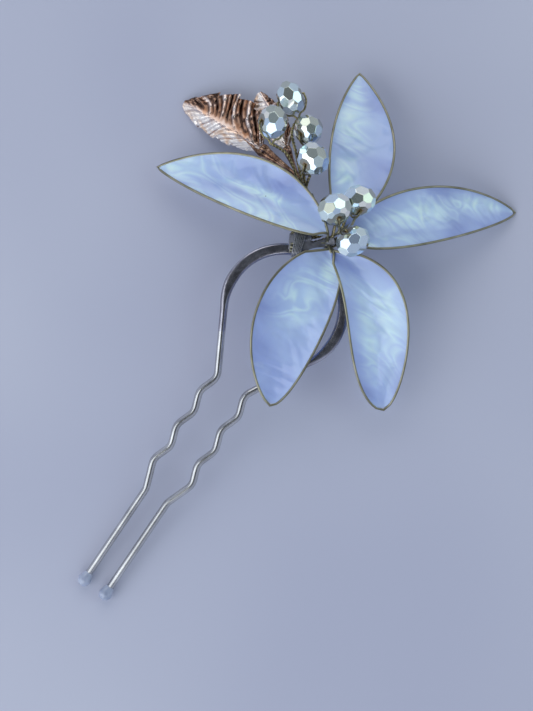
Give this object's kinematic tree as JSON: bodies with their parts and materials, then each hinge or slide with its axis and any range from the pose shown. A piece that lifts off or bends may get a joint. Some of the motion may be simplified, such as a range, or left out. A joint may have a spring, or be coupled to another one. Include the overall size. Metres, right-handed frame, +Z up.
{
  "type": "flower hair pin",
  "caption": "U-shaped wavy steel hair pin carrying a wired flower of pearl-white resin petals with faceted glass beads and a rose-gold leaf spray.",
  "frame": {"origin": "on the table, below the middle of the two leg tips", "axes": "+Y along the pin from the leg tips to the crown, +Z up, towards the flower's face, +X to the right seen from above"},
  "size_m": [0.0665, 0.114, 0.0241],
  "materials": {
    "pin_wire": "polished steel wire",
    "crown_band": "flattened, dark polished steel",
    "moulded_tip": "milky moulded tip",
    "petal_wire": "aged brass wire",
    "pearl_resin": "glossy pearl-white resin",
    "bead_glass": "faceted glass with a pearl lustre",
    "brass_wire": "thin brass wire",
    "rose_gold_leaf": "stamped rose-gold leaf",
    "binding_wire": "fine silver binding wire",
    "clear_glue": "clear set adhesive"
  },
  "bodies": {
    "pin_and_flower": {"pin_head": "crown_band", "left_petal_wire": "petal_wire", "left_petal_resin": "pearl_resin", "upper_petal_wire": "petal_wire", "upper_petal_resin": "pearl_resin", "right_petal_wire": "petal_wire", "right_petal_resin": "pearl_resin", "lower_right_petal_wire": "petal_wire", "lower_right_petal_resin": "pearl_resin", "lower_left_petal_wire": "petal_wire", "lower_left_petal_resin": "pearl_resin", "flower_bead_left_wire": "brass_wire", "flower_bead_upper_wire": "brass_wire", "flower_bead_right_wire": "brass_wire", "spray_bead_outer_wire": "brass_wire", "spray_bead_top_wire": "brass_wire", "spray_bead_small_wire": "brass_wire", "spray_bead_inner_wire": "brass_wire", "large_leaf": "rose_gold_leaf", "small_leaf": "rose_gold_leaf", "large_leaf_stem": "brass_wire", "small_leaf_stem": "brass_wire", "spray_binding": "brass_wire", "flower_binding": "binding_wire", "glue_pad": "clear_glue"},
    "left_leg": {"left_leg": "pin_wire", "left_tip": "moulded_tip"},
    "right_leg": {"right_leg": "pin_wire", "right_tip": "moulded_tip"},
    "flower_bead_left": {"flower_bead_left": "bead_glass"},
    "flower_bead_upper": {"flower_bead_upper": "bead_glass"},
    "flower_bead_right": {"flower_bead_right": "bead_glass"},
    "spray_bead_outer": {"spray_bead_outer": "bead_glass"},
    "spray_bead_top": {"spray_bead_top": "bead_glass"},
    "spray_bead_small": {"spray_bead_small": "bead_glass"},
    "spray_bead_inner": {"spray_bead_inner": "bead_glass"}
  },
  "joints": [
    {"name": "left_leg_flex", "type": "hinge", "parent": "pin_and_flower", "child": "left_leg", "pos_m": [-0.00501, 0.05124, 0.00656], "axis": [0, 0.1011, -0.9949], "range_deg": [-1, 6], "stiffness_Nm_per_rad": 0.06},
    {"name": "right_leg_flex", "type": "hinge", "parent": "pin_and_flower", "child": "right_leg", "pos_m": [0.00501, 0.05124, 0.00656], "axis": [0, -0.1011, 0.9949], "range_deg": [-1, 6], "stiffness_Nm_per_rad": 0.06},
    {"name": "flower_bead_left_spin", "type": "hinge", "parent": "pin_and_flower", "child": "flower_bead_left", "pos_m": [-0.0024, 0.08618, 0.02136], "axis": [0.6636, -0.4424, 0.6033], "continuous": true},
    {"name": "flower_bead_upper_spin", "type": "hinge", "parent": "pin_and_flower", "child": "flower_bead_upper", "pos_m": [0.0003, 0.09037, 0.01776], "axis": [0.6017, -0.6217, 0.5014], "continuous": true},
    {"name": "flower_bead_right_spin", "type": "hinge", "parent": "pin_and_flower", "child": "flower_bead_right", "pos_m": [0.0037, 0.08338, 0.01937], "axis": [-0.841, 0.3404, 0.4205], "continuous": true},
    {"name": "spray_bead_outer_spin", "type": "hinge", "parent": "pin_and_flower", "child": "spray_bead_outer", "pos_m": [-0.0216, 0.09398, 0.01396], "axis": [-0.7403, -0.4602, 0.4902], "continuous": true},
    {"name": "spray_bead_top_spin", "type": "hinge", "parent": "pin_and_flower", "child": "spray_bead_top", "pos_m": [-0.0216, 0.10018, 0.01017], "axis": [0.5859, 0.8043, 0.0993], "continuous": true},
    {"name": "spray_bead_small_spin", "type": "hinge", "parent": "pin_and_flower", "child": "spray_bead_small", "pos_m": [-0.0153, 0.09698, 0.01097], "axis": [-0.3094, -0.7386, 0.5989], "continuous": true},
    {"name": "spray_bead_inner_spin", "type": "hinge", "parent": "pin_and_flower", "child": "spray_bead_inner", "pos_m": [-0.0112, 0.09227, 0.01537], "axis": [-0.25, -0.7899, 0.5599], "continuous": true}
  ]
}
